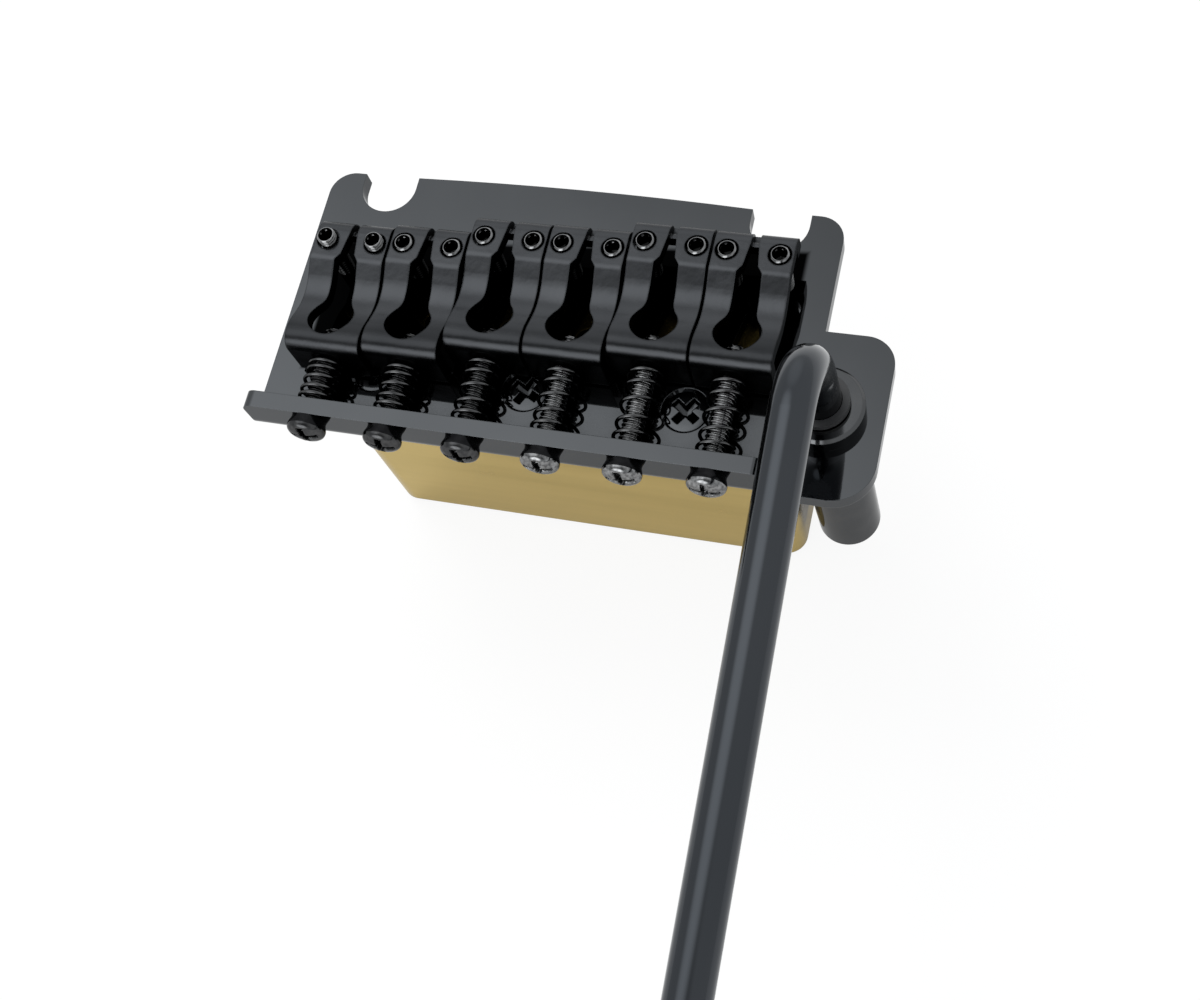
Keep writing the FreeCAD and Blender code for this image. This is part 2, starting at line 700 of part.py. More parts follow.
def make_height_screws(number):
    """The two grub screws that a saddle stands on."""
    top = size.bass_screw_top if number == 0 else size.height_screw_top
    screws = []
    for side in (-1, 1):
        body = new_body(f"height_screw_{number + 1}_{'treble' if side > 0 else 'bass'}")
        round_bar = new_sketch(body, "XY_Plane", size.height_screw_foot)
        draw_circle(round_bar, ZERO, ZERO, size.height_screw_radius)
        bar = add_pad(body, round_bar, top - size.height_screw_foot)
        add_chamfer(body, bar, lambda edge: len(edge.Vertexes) == 1, size.height_screw_edge)
        hexagon = new_sketch(body, "XY_Plane", top)
        corner_reach = size.hex_across / sqrt(3)
        turns = [radians(60 * corner) for corner in range(6)]
        draw_outline(hexagon, [(corner_reach * cos(turn), corner_reach * sin(turn)) for turn in turns])
        add_pocket(body, hexagon, size.hex_depth)
        place(body, string_across(number) + size.height_screw_offset * side, setback(number))
        screws.append(body)
    return group(f"height_screws_{number + 1}", screws)


def make_intonation_screw(number):
    """Screw with a flared, domed head behind the flange, threaded through the saddle's rear wall."""
    body = new_body(f"intonation_screw_{number + 1}")
    tip = saddle_back(number) + size.screw_lead
    seat = -size.plate_rear - size.seat_gap
    dome_height = size.head_height - size.head_rim
    dome = (size.head_radius * size.head_radius + dome_height * dome_height) / (dome_height * 2)
    profile = new_sketch(body, "YZ_Plane")
    draw_outline(profile, [
        (tip, ZERO),
        (tip, size.screw_radius - size.screw_tip_edge),
        (tip - size.screw_tip_edge, size.screw_radius),
        (seat, size.screw_radius),
        (seat, size.head_foot),
        (seat - size.head_rim, size.head_radius),
        (seat - size.head_height, ZERO, dome, 1),
    ])
    add_turned(body, profile, "H_Axis")
    place(body, screw_across(number), ZERO, size.screw_axis)
    return body


def arc_between(start, corner, end):
    """Arc from start to end that leaves along the line to corner and arrives along the line from it."""
    leave, chord = corner - start, end - start
    weight = leave.normalize().dot(chord.normalize())
    middle = (start + corner * 2 * weight + end) / (2 + 2 * weight)
    return Part.Arc(start, middle, end).toShape()


def biarc(start, leaving, end, arriving):
    """Two arcs that meet smoothly, from start along one direction to end along another."""
    span = end - start
    both = leaving + arriving
    spread = 2 * (1 - leaving.dot(arriving))
    along = span.dot(both)
    reach = (sqrt(along ** 2 + spread * span.dot(span)) - along) / spread
    first, second = start + leaving * reach, end - arriving * reach
    middle = (first + second) / 2
    return [arc_between(start, first, middle), arc_between(middle, second, end)]


def coil_stations(length, turns):
    """Points and directions of a coil spring along Y that ends in two short straight feet."""
    radius, wire, bend = size.coil_radius.value, size.coil_wire.value, size.coil_bend.value
    half_turns = int(round(turns * 2))
    lift = wire + bend
    rise = Vector(0, 1, 0)
    pitch = (length - 2 * lift) / turns
    stations = []
    for step in range(half_turns + 1):
        angle = pi * step
        point = Vector(radius * cos(angle), lift + pitch * step / 2, -radius * sin(angle))
        heading = Vector(-radius * sin(angle), pitch / (2 * pi), -radius * cos(angle)).normalize()
        stations.append((point, heading))
    (first, leaving), (last, arriving) = stations[0], stations[-1]
    foot = (first - Vector(leaving.x, 0, leaving.z).normalize() * bend - rise * bend, rise)
    head = (last + Vector(arriving.x, 0, arriving.z).normalize() * bend + rise * bend, rise)
    return [foot, *stations, head]


def least_gap(path, turns):
    """Least free gap between stretches of a coil's tube that lie more than a half turn apart."""
    samples = int(COIL_SAMPLES * turns)
    points = path.discretize(Number=samples)
    apart = samples // int(turns * 2) + 1
    spans = [near.distanceToPoint(far) for place, near in enumerate(points) for far in points[place + apart:]]
    return min(spans) - size.coil_wire.value


def make_spring(number):
    """Coil spring round an intonation screw, between the flange and the saddle's rear wall."""
    length = (saddle_back(number) - flange_face()).value
    turns = (size.coil_turns_bass if number in BASS_STRINGS else size.coil_turns).value
    stations = coil_stations(length, turns)
    first, last = stations[0][0], stations[-1][0]
    foot, head = Vector(first.x, 0, first.z), Vector(last.x, length, last.z)
    edges = [Part.makeLine(foot, first)]
    for (point, heading), (further, onward) in zip(stations, stations[1:]):
        edges += biarc(point, heading, further, onward)
    edges.append(Part.makeLine(last, head))
    path = Part.Wire(edges)
    shell = Part.BRepOffsetAPI.MakePipeShell(path)
    shell.add(Part.Wire([Part.makeCircle(size.coil_wire.value / 2, foot, Vector(0, 1, 0))]))
    shell.build()
    shell.makeSolid()
    spring = doc.addObject("Part::Feature", f"intonation_spring_{number + 1}")
    spring.Shape = shell.shape()
    place(spring, screw_across(number), flange_face(), size.screw_axis)
    print(f"intonation spring {number + 1}: least gap {least_gap(path, turns):.2f} mm")
    return spring


def lean(item, along_axis=ZERO):
    """Place an item on the arm's leaning axis, at a distance along it from the plate's top."""
    item.Placement = FreeCAD.Placement(Vector(), FreeCAD.Rotation(Vector(0, -1, 0), size.arm_lean.value))
    across = size.arm_across - along_axis * sine(size.arm_lean)
    place(item, across, -size.arm_back, along_axis * cosine(size.arm_lean))
    bind(item, Placement__Rotation__Angle=size.arm_lean)


def leaning_cylinder(label, radius, foot, top):
    """Cylinder on the arm's axis."""
    cylinder = doc.addObject("Part::Cylinder", label)
    bind(cylinder, Radius=radius, Height=top - foot)
    lean(cylinder, foot)
    return cylinder


def cut(label, base, tool):
    """Take one solid out of another."""
    result = doc.addObject("Part::Cut", label)
    result.Base, result.Tool = base, tool
    doc.recompute()
    return result


def fuse(label, base, tool):
    """Join two solids."""
    result = doc.addObject("Part::Fuse", label)
    result.Base, result.Tool = base, tool
    doc.recompute()
    return result


def group(label, solids):
    """Several like solids under one label."""
    result = doc.addObject("Part::Compound", label)
    result.Links = solids
    doc.recompute()
    return result


def make_socket():
    """Arm socket: a level collar on the plate, a neck through it and a leaning tube that ends flat under it."""
    tube_foot = size.socket_edge - size.socket_foot
    tube = leaning_cylinder("socket_tube", size.socket_radius, tube_foot, ZERO)
    plate_space = doc.addObject("Part::Box", "plate_space")
    width = size.socket_radius * 2 * REACH
    bind(plate_space, Length=width, Width=width, Height=width)
    place(plate_space, size.arm_across - width / 2, -size.arm_back - width / 2, -size.plate_thick)
    lower = cut("socket_lower", tube, plate_space)
    foot = doc.addObject("Part::Cone", "socket_foot")
    bind(foot, Radius1=size.socket_radius - size.socket_edge, Radius2=size.socket_radius, Height=size.socket_edge)
    lean(foot, -size.socket_foot)
    neck = leaning_cylinder("socket_neck", size.neck_radius, tube_foot, size.collar_top / 2)
    collar = doc.addObject("Part::Cylinder", "collar_disc")
    bind(collar, Radius=size.collar_radius, Height=size.collar_top - size.collar_edge)
    place(collar, size.arm_across, -size.arm_back)
    rim = doc.addObject("Part::Cone", "collar_rim")
    bind(rim, Radius1=size.collar_radius, Radius2=size.collar_radius - size.collar_edge, Height=size.collar_edge)
    place(rim, size.arm_across, -size.arm_back, size.collar_top - size.collar_edge)
    outer = lower
    for label, piece in (("foot", foot), ("neck", neck), ("collar", collar), ("rim", rim)):
        outer = fuse(f"socket_with_{label}", outer, piece)
    bore = leaning_cylinder("socket_bore", size.bush_radius + size.arm_gap,
                            -size.bush_foot - size.seat_gap, size.collar_top * REACH)
    return cut("arm_socket", outer, bore)


def rim_foot():
    """Lower face of the bush's rim along the leaning axis, clear of the level collar all round."""
    return (size.collar_top + size.seat_gap + size.bush_rim * sine(size.arm_lean)) / cosine(size.arm_lean)


def make_bush():
    """Nylon bush with a rim that rests on the collar: the arm pushes into it."""
    rim_top = rim_foot() + size.bush_rim_height
    sleeve = leaning_cylinder("bush_sleeve", size.bush_radius, -size.bush_foot, rim_top)
    rim = leaning_cylinder("bush_rim", size.bush_rim, rim_foot(), rim_top)
    bore = leaning_cylinder("bush_bore", size.arm_radius + size.arm_gap, size.bush_floor - size.bush_foot,
                            rim_top * REACH)
    return cut("arm_bush", fuse("bush_blank", sleeve, rim), bore)


def make_arm():
    """Steel arm: an upright shank, one bend and a long run that slopes down a little."""
    body = new_body("tremolo_arm")
    drop = size.arm_drop
    run_y, run_z = -cosine(drop), -sine(drop)
    half_bend = (drop + RIGHT_ANGLE) / 2
    set_off = size.arm_bend * sine(half_bend) / cosine(half_bend)
    corners = [
        (ZERO, -size.arm_foot),
        (ZERO, size.arm_height - set_off),
        (set_off * run_y, size.arm_height + set_off * run_z),
        (size.arm_length * run_y, size.arm_height + size.arm_length * run_z),
    ]
    spine = new_sketch(body, "YZ_Plane")
    points = [Vector(across.value, up.value, 0) for across, up in corners]
    shank = spine.addGeometry(Part.LineSegment(points[0], points[1]), False)
    bend = spine.addGeometry(short_arc(points[1], points[2], size.arm_bend.value, 1), False)
    run = spine.addGeometry(Part.LineSegment(points[2], points[3]), False)
    spine.addConstraint(Sketcher.Constraint("Coincident", shank, 2, bend, 1))
    spine.addConstraint(Sketcher.Constraint("Coincident", bend, 2, run, 1))
    for (curve, end), corner in zip(((shank, 1), (shank, 2), (run, 1), (run, 2)), corners):
        pin_point(spine, curve, end, *corner)
    constrain(spine, "Radius", bend, to=size.arm_bend)
    section = new_sketch(body, "XY_Plane", -size.arm_foot)
    draw_circle(section, ZERO, ZERO, size.arm_radius)
    bar = body.newObject("PartDesign::AdditivePipe", "Pipe")
    bar.Profile = section
    bar.Spine = (spine, [])
    doc.recompute()
    add_chamfer(body, bar, lambda edge: is_level_circle(edge, -size.arm_foot), size.arm_foot_edge)
    lean(body)
    return body


def make_arm_tip():
    """Plastic cap on the end of the arm."""
    body = new_body("arm_tip")
    mouth = size.tip_overlap - size.arm_length
    bore = size.arm_radius + size.fit_gap
    floor = mouth - size.tip_overlap - size.fit_gap
    end = mouth - size.tip_length
    profile = new_sketch(body, "YZ_Plane")
    draw_outline(profile, [
        (mouth, bore),
        (mouth, size.tip_neck),
        (end + size.tip_radius, size.tip_radius),
        (end, ZERO, size.tip_radius, 1),
        (floor, ZERO),
        (floor, bore),
    ])
    add_turned(body, profile, "H_Axis")
    leaning = FreeCAD.Rotation(Vector(0, -1, 0), size.arm_lean.value)
    dropping = FreeCAD.Rotation(Vector(1, 0, 0), size.arm_drop.value)
    body.Placement = FreeCAD.Placement(Vector(), leaning.multiply(dropping))
    place(body, size.arm_across - size.arm_height * sine(size.arm_lean), -size.arm_back,
          size.arm_height * cosine(size.arm_lean))
    return body


def make_all():
    """Build every piece of the bridge."""
    pieces = [make_plate(), make_block(), make_block_screws(), make_socket(), make_bush(), make_arm(),
              make_arm_tip()]
    for number in range(STRINGS):
        pieces += [make_saddle(number), make_height_screws(number), make_intonation_screw(number),
                   make_spring(number)]
    doc.recompute()
    return pieces


def write_all(pieces):
    """Check every object and piece, then write each piece to its own file."""
    failed = [item.Label for item in doc.Objects if {"Invalid", "Error"} & set(item.State)]
    failed += [piece.Label for piece in pieces if piece.Shape.isNull() or not piece.Shape.isValid()]
    if failed:
        raise ValueError(f"these did not build: {failed}")
    os.makedirs("parts", exist_ok=True)
    for piece in pieces:
        piece.Shape.exportStep(f"parts/{piece.Label}.step")
        box = piece.Shape.BoundBox
        print(f"{piece.Label}: {len(piece.Shape.Solids)} solid(s), {piece.Shape.Volume:.1f} mm3,"
              f" {box.XLength:.1f} x {box.YLength:.1f} x {box.ZLength:.1f} mm")


write_all(make_all())
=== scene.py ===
# %% [markdown]
# # A black guitar tremolo bridge
# The solids of the bridge come in as a fixed frame, in metres. This lesson gives them their finishes,
# and builds the pieces whose charm lies in fine detail: threaded screws, sockets, cross recesses and springs.

# %% Load the frame
import math

import bmesh
import bpy
import numpy as np
from mathutils import Matrix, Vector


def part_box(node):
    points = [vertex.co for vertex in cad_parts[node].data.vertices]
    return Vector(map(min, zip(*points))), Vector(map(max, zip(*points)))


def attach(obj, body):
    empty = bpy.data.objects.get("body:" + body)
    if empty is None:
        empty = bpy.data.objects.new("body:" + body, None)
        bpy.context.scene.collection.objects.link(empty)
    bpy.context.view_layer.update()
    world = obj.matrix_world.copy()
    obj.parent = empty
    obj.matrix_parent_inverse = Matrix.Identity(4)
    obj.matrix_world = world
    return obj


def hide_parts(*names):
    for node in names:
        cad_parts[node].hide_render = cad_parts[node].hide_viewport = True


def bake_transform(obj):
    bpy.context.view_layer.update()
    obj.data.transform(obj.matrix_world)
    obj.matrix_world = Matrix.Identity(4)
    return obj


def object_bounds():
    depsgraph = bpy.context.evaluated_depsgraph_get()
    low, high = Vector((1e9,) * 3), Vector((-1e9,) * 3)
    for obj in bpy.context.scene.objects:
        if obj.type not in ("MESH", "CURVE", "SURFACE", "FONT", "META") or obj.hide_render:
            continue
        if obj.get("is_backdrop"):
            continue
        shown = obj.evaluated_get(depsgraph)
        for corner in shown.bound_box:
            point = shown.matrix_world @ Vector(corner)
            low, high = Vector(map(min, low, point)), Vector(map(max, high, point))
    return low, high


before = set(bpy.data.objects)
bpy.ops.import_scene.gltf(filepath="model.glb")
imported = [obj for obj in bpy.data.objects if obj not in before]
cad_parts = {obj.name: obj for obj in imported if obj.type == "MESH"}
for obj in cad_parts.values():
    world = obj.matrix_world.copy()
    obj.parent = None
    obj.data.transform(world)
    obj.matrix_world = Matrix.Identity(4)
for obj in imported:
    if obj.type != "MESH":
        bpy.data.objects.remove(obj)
cad_low, cad_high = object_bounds()
MM = 0.001
STRINGS = range(1, 7)
print("nodes", len(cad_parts), "box", [round(v, 4) for v in (*cad_low, *cad_high)])

# %% [markdown]
# ## The camera
# A product picture is taken from above and behind, with a normal lens. The three directions below are the
# camera's own right, up and back, so the matrix can be written down without any aiming or guessing.

# %% Set the camera
CAMERA_PLACE = (0.065078, -0.109792, 0.182737)
CAMERA_RIGHT = (0.95606932, 0.22288208, -0.19040756)
CAMERA_UP = (-0.13809229, 0.91539431, 0.37813197)
CAMERA_BACK = (0.25857684, -0.33522655, 0.90595871)
CAMERA_LENS = 48.05
SENSOR_WIDTH = 36.0
NEAREST_SEEN = 0.005
LAST_ROW = (0, 0, 0, 1)

camera_rows = zip(CAMERA_RIGHT, CAMERA_UP, CAMERA_BACK, CAMERA_PLACE)
camera_data = bpy.data.cameras.new("studio_camera")
camera_data.lens = CAMERA_LENS
camera_data.sensor_width = SENSOR_WIDTH
camera_data.clip_start = NEAREST_SEEN
camera = bpy.data.objects.new("studio_camera", camera_data)
camera.matrix_world = Matrix([*camera_rows, LAST_ROW])
bpy.context.scene.collection.objects.link(camera)
bpy.context.scene.camera = camera
bpy.context.scene.view_settings.view_transform = "Standard"
print("camera at", CAMERA_PLACE)

# %% [markdown]
# ## A helper for shaders
# A material or a sky is a tree of nodes. This helper makes one node and fills in its constants, so each
# tree below is first a list of nodes and then a list of links between them.


# %% Write the helper
def add_node(tree, kind, sockets=None, **settings):
    """A new node of a kind: settings are its own properties, sockets the constants of its inputs."""
    node = tree.nodes.new("ShaderNode" + kind)
    for name, value in settings.items():
        setattr(node, name, value)
    for socket, value in (sockets or {}).items():
        node.inputs[socket].default_value = value
    return node


print("shader helper ready")

# %% [markdown]
# ## A white studio
# Black metal is only as good as what it mirrors. The room is a white tent with three soft patches of light:
# one overhead to the left, one low in front and one low behind the camera. Where the photographer stands the
# tent is dark, so surfaces that face the camera go dark and every bend runs softly from dark to light.
# A patch is an aim, the dot products where it starts and where it is full, and what it adds to the tent.

# %% Light the room
WHITE = (1, 1, 1, 1)
TENT_COLOUR = (0.97, 1.0, 1.02, 1)
TENT_LEVEL = 0.80
PATCHES = {"overhead": ((-0.40, 0.05, 0.915), 0.84, 1.0, 1.0),
           "front": ((-0.20, 0.85, 0.49), 0.88, 1.0, 0.3),
           "behind": ((-0.25, -0.90, 0.36), 0.90, 0.985, 2.6),
           "photographer": ((0.0, -0.62, 0.785), 0.80, 0.97, -0.48)}

world = bpy.data.worlds.new("light_tent")
world.use_nodes = True
bpy.context.scene.world = world
sky = world.node_tree
sky.nodes.clear()
direction = add_node(sky, "TexCoord")


def light_patch(aim, outer, inner, gain):
    """A round patch on the tent: gain where the dot product with aim is above inner, nothing below outer."""
    facing = add_node(sky, "VectorMath", {1: aim}, operation="DOT_PRODUCT")
    patch = add_node(sky, "MapRange", {"From Min": outer, "From Max": inner, "To Max": gain},
                     interpolation_type="SMOOTHSTEP")
    sky.links.new(direction.outputs["Generated"], facing.inputs[0])
    sky.links.new(facing.outputs["Value"], patch.inputs["Value"])
    return patch.outputs["Result"]


level = None
for patch in PATCHES.values():
    add = add_node(sky, "Math", {1: TENT_LEVEL})
    sky.links.new(light_patch(*patch), add.inputs[0])
    if level:
        sky.links.new(level, add.inputs[1])
    level = add.outputs[0]

tent = add_node(sky, "Background", {"Color": TENT_COLOUR})
white = add_node(sky, "Background", {"Color": WHITE})
path = add_node(sky, "LightPath")
pick = add_node(sky, "MixShader")
out = add_node(sky, "OutputWorld")
sky.links.new(level, tent.inputs["Strength"])
sky.links.new(path.outputs["Is Camera Ray"], pick.inputs["Fac"])
sky.links.new(tent.outputs["Background"], pick.inputs[1])
sky.links.new(white.outputs["Background"], pick.inputs[2])
sky.links.new(pick.outputs["Shader"], out.inputs["Surface"])
print("light patches", list(PATCHES))

# %% [markdown]
# ## One lamp for the floor
# A single large lamp from the left lights the paper floor and the plastics, and gives the shadow its side.
# It is kept out of the mirrors, where its outline would show as a hard white square. Its back direction is
# the unit vector from its target to its place, and two cross products give the other directions.

# %% Hang the lamp
LAMP_PLACE = (-0.35, 0.30, 0.60)
LAMP_TARGET = (0, -0.02, 0)
LAMP_WIDTH = 0.40
LAMP_POWER = 3.0
NEARLY_AHEAD = (0, 1, 0.01)

lamp_data = bpy.data.lights.new("softbox_left", "AREA")
lamp_data.size = LAMP_WIDTH
lamp_data.energy = LAMP_POWER
lamp = bpy.data.objects.new("softbox_left", lamp_data)
back = np.subtract(LAMP_PLACE, LAMP_TARGET)
back = back / np.linalg.norm(back)
right = np.cross(NEARLY_AHEAD, back)
right = right / np.linalg.norm(right)
lamp_rows = zip(right, np.cross(back, right), back, LAMP_PLACE)
lamp.matrix_world = Matrix([*lamp_rows, LAST_ROW])
lamp.visible_glossy = False
bpy.context.scene.collection.objects.link(lamp)
print("lamp", lamp.name, LAMP_POWER, "watts")

# %% [markdown]
# ## The floor
# The floor is a white sheet under the block. What the camera sees of it is mostly an even white, with a small
# share of plain shading that keeps the soft shadow. The mirrors see more of that shading, which gives the
# underside of the metal its depth.

# %% Lay the floor
FLOOR_REACH = 3.0
FLOOR_GAP = 0.0002
PAPER_COLOUR = (0.92, 0.92, 0.92, 1)
SHADOW_SEEN = 0.10
SHADOW_MIRRORED = 0.50

floor_z = cad_low.z - FLOOR_GAP
corners = [(-FLOOR_REACH, -FLOOR_REACH, floor_z), (FLOOR_REACH, -FLOOR_REACH, floor_z),
           (FLOOR_REACH, FLOOR_REACH, floor_z), (-FLOOR_REACH, FLOOR_REACH, floor_z)]
floor_mesh = bpy.data.meshes.new("studio_floor")
floor_mesh.from_pydata(corners, [], [(0, 1, 2, 3)])
floor = bpy.data.objects.new("studio_floor", floor_mesh)
bpy.context.scene.collection.objects.link(floor)
paper = bpy.data.materials.new("white_paper")
paper.use_nodes = True
tree = paper.node_tree
tree.nodes.clear()
plain = add_node(tree, "BsdfDiffuse", {"Color": PAPER_COLOUR})
glow = add_node(tree, "Emission", {"Strength": 1.0})
path = add_node(tree, "LightPath")
seen = add_node(tree, "Math", {1: 1.0 - SHADOW_SEEN}, operation="MULTIPLY")
mirrored = add_node(tree, "Math", operation="MAXIMUM")
share = add_node(tree, "Math", {1: 1.0 - SHADOW_MIRRORED}, operation="MULTIPLY_ADD")
mix = add_node(tree, "MixShader")
out = add_node(tree, "OutputMaterial")
tree.links.new(path.outputs["Is Camera Ray"], seen.inputs[0])
tree.links.new(path.outputs["Is Glossy Ray"], mirrored.inputs[0])
tree.links.new(path.outputs["Is Transmission Ray"], mirrored.inputs[1])
tree.links.new(mirrored.outputs[0], share.inputs[0])
tree.links.new(seen.outputs[0], share.inputs[2])
tree.links.new(share.outputs[0], mix.inputs["Fac"])
tree.links.new(plain.outputs[0], mix.inputs[1])
tree.links.new(glow.outputs[0], mix.inputs[2])
tree.links.new(mix.outputs[0], out.inputs["Surface"])
floor_mesh.materials.append(paper)
floor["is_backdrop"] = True
print("floor at", round(floor_z, 4))

# %% [markdown]
# ## Painted shade
# Where other pieces crowd round a surface, painted shade darkens its colour, so the tone falls to black with
# the open share of its sky. Two fields of painted shade come on top of that: on the plate a slanted box under
# the six saddles, and on the saddles their rear ends above the springs.
# A field is the tone left inside it and its axes, each with a middle, a half width and the width of its edge.

# %% Write the painted shade
CROWDING = 0.022
SKY_SAMPLES = 8
DARKEST_PAINTED_SHADE = 0.04
SADDLE_ROW = (-0.085, 1, 0)
# painted shade on the plate: a slanted box under the six saddles goes almost black
PLATE_PAINTED_SHADE = (0.01, ((SADDLE_ROW, -0.0166, 0.0100, 0.0004), ((1, 0, 0), 0.0, 0.0326, 0.0004),
                      ((0, 0, 1), 0.00048, 0.0005, 0.00001)))
# painted shade on the saddles: their rear ends above the springs are darker
SADDLE_PAINTED_SHADE = (0.55, ((SADDLE_ROW, -0.0270, 0.0040, 0.0020),))


def painted_crevice_shade(tree, crowded):
    """The tone left by painted shade: darkest below the first share of open sky, whole above the second."""
    around = add_node(tree, "AmbientOcclusion", {"Distance": CROWDING}, samples=SKY_SAMPLES)
    left = add_node(tree, "MapRange", {"From Min": crowded[0], "From Max": crowded[1], "To Min": DARKEST_PAINTED_SHADE})
    tree.links.new(around.outputs["AO"], left.inputs["Value"])
    return left.outputs["Result"]


def outside_field(tree, where, lowest, axes):
    """One outside a slanted box and lowest inside it: the largest of the eased distances along its axes."""
    largest = None
    for axis, middle, half, ease in axes:
        along = add_node(tree, "VectorMath", {1: axis}, operation="DOT_PRODUCT")
        distance = add_node(tree, "Math", {1: middle}, operation="SUBTRACT")
        size = add_node(tree, "Math", operation="ABSOLUTE")
        limits = {"From Min": half - ease, "From Max": half + ease, "To Min": lowest}
        fade = add_node(tree, "MapRange", limits, interpolation_type="SMOOTHSTEP")
        larger = add_node(tree, "Math", {1: 0.0}, operation="MAXIMUM")
        tree.links.new(where.outputs["Object"], along.inputs[0])
        tree.links.new(along.outputs["Value"], distance.inputs[0])
        tree.links.new(distance.outputs[0], size.inputs[0])
        tree.links.new(size.outputs[0], fade.inputs["Value"])
        tree.links.new(fade.outputs["Result"], larger.inputs[0])
        if largest:
            tree.links.new(largest, larger.inputs[1])
        largest = larger.outputs[0]
    return largest


print("crowding is felt within", CROWDING, "metres")

# %% [markdown]
# ## A recipe for metal
# Black plated steel mirrors about a tenth of the light and has no colour of its own, so black is made as a
# dark metal. Cloudy noise moves its tone and gloss a little, and a fine grain bumps it, as plating does. On
# the pressed saddles the same clouds are also shallow waves, which make the mirrored light run unevenly.
# Sharp edges of sheet metal catch a thin light line, which the bevel node rounds into the shading.
# Its colour also carries painted shade where other pieces crowd round, and inside a field.

# %% Write the recipe
CLOUD_DETAIL = 4.0
CLOUD_SPAN = (0.3, 0.7)
GRAIN_DETAIL = 3.0
GRAIN_DEPTH = 0.00002
EDGE_SAMPLES = 4


def two_tones(tree, dark, light, span):
    """A ramp that is dark up to the first value of span and light from the second."""
    ramp = add_node(tree, "ValToRGB")
    for stop, value, tone in zip(ramp.color_ramp.elements, span, (dark, light)):
        stop.position = value
        stop.color = (*tone, 1)
    return ramp


def metal_finish(name, dark, light, cloud_scale, gloss, grain_scale, grain, edge=0, glance=0.6,
                 stretch=(1, 1, 1), crowded=(0.15, 0.40), field=None, waves=0):
    """A metal led by noise: clouds move it from dark to light and from gloss to gloss, grain bumps it.

    Edge is the radius of its corners and waves the height of its swells, in metres. Glance dims its rim,
    stretch scales the noise, and crowded and field say where shade is painted into its colour.
    """
    material = bpy.data.materials.new(name)
    material.use_nodes = True
    tree = material.node_tree
    join = tree.links.new
    metal = tree.nodes["Principled BSDF"]
    metal.inputs["Metallic"].default_value = 1.0
    metal.inputs["Specular Tint"].default_value = (glance, glance, glance, 1)

    where = add_node(tree, "TexCoord")
    turn = add_node(tree, "Mapping", {"Scale": stretch})
    clouds = add_node(tree, "TexNoise", {"Scale": cloud_scale, "Detail": CLOUD_DETAIL})
    specks = add_node(tree, "TexNoise", {"Scale": grain_scale, "Detail": GRAIN_DETAIL})
    join(where.outputs["Object"], turn.inputs["Vector"])
    join(turn.outputs["Vector"], clouds.inputs["Vector"])
    join(turn.outputs["Vector"], specks.inputs["Vector"])

    # painted shade: the colour falls towards black where other pieces crowd round, and inside a field
    left = painted_crevice_shade(tree, crowded)
    if field:
        both = add_node(tree, "Math", operation="MULTIPLY")
        join(left, both.inputs[0])
        join(outside_field(tree, where, *field), both.inputs[1])
        left = both.outputs[0]
    tone = two_tones(tree, dark, light, CLOUD_SPAN)
    shaded = add_node(tree, "Mix", {"Factor": 1.0}, data_type="RGBA", blend_type="MULTIPLY")
    polish = add_node(tree, "MapRange", {"To Min": gloss[0], "To Max": gloss[1]})
    join(clouds.outputs["Fac"], tone.inputs["Fac"])
    join(tone.outputs["Color"], shaded.inputs["A"])
    join(left, shaded.inputs["B"])
    join(shaded.outputs["Result"], metal.inputs["Base Color"])
    join(clouds.outputs["Fac"], polish.inputs["Value"])
    join(polish.outputs["Result"], metal.inputs["Roughness"])

    lowest = bump = add_node(tree, "Bump", {"Strength": grain, "Distance": GRAIN_DEPTH})
    join(specks.outputs["Fac"], bump.inputs["Height"])
    join(bump.outputs["Normal"], metal.inputs["Normal"])
    if waves:
        lowest = add_node(tree, "Bump", {"Distance": waves})
        join(clouds.outputs["Fac"], lowest.inputs["Height"])
        join(lowest.outputs["Normal"], bump.inputs["Normal"])
    if edge:
        corner = add_node(tree, "Bevel", {"Radius": edge}, samples=EDGE_SAMPLES)
        join(corner.outputs["Normal"], lowest.inputs["Normal"])
    return material


print("metal recipe ready")

# %% [markdown]
# ## The large metals
# Plate and block screws share one glossy plating, to which the plate adds its field of painted shade. The
# saddles are satin with a field of painted shade of their own, the arm and its socket are glossy, and the
# brass of the block is brushed along its length.

# %% Mix the large metals
PLATING = {"dark": (0.080, 0.083, 0.087), "light": (0.088, 0.091, 0.095), "cloud_scale": 60,
           "gloss": (0.02, 0.05), "grain_scale": 5000, "grain": 0.02, "edge": 0.00015}

gloss_black = metal_finish("gloss_black_plating", **PLATING)
plate_black = metal_finish("gloss_black_plate", field=PLATE_PAINTED_SHADE, **PLATING)
satin_black = metal_finish(
    "satin_black_plating", dark=(0.058, 0.060, 0.064), light=(0.069, 0.071, 0.075), cloud_scale=160,
    gloss=(0.20, 0.27), grain_scale=9000, grain=0.05, edge=0.00030, crowded=(0.20, 0.45),
    field=SADDLE_PAINTED_SHADE, waves=0.00016)
socket_black = metal_finish(
    "gloss_socket_steel", dark=(0.080, 0.082, 0.085), light=(0.095, 0.096, 0.098), cloud_scale=300,
    gloss=(0.05, 0.10), grain_scale=8000, grain=0.04, edge=0.00015)
arm_black = metal_finish(
    "gloss_black_arm", dark=(0.050, 0.054, 0.060), light=(0.062, 0.066, 0.072), cloud_scale=90,
    gloss=(0.08, 0.14), grain_scale=4000, grain=0.03, glance=1.0, stretch=(1, 0.12, 1))
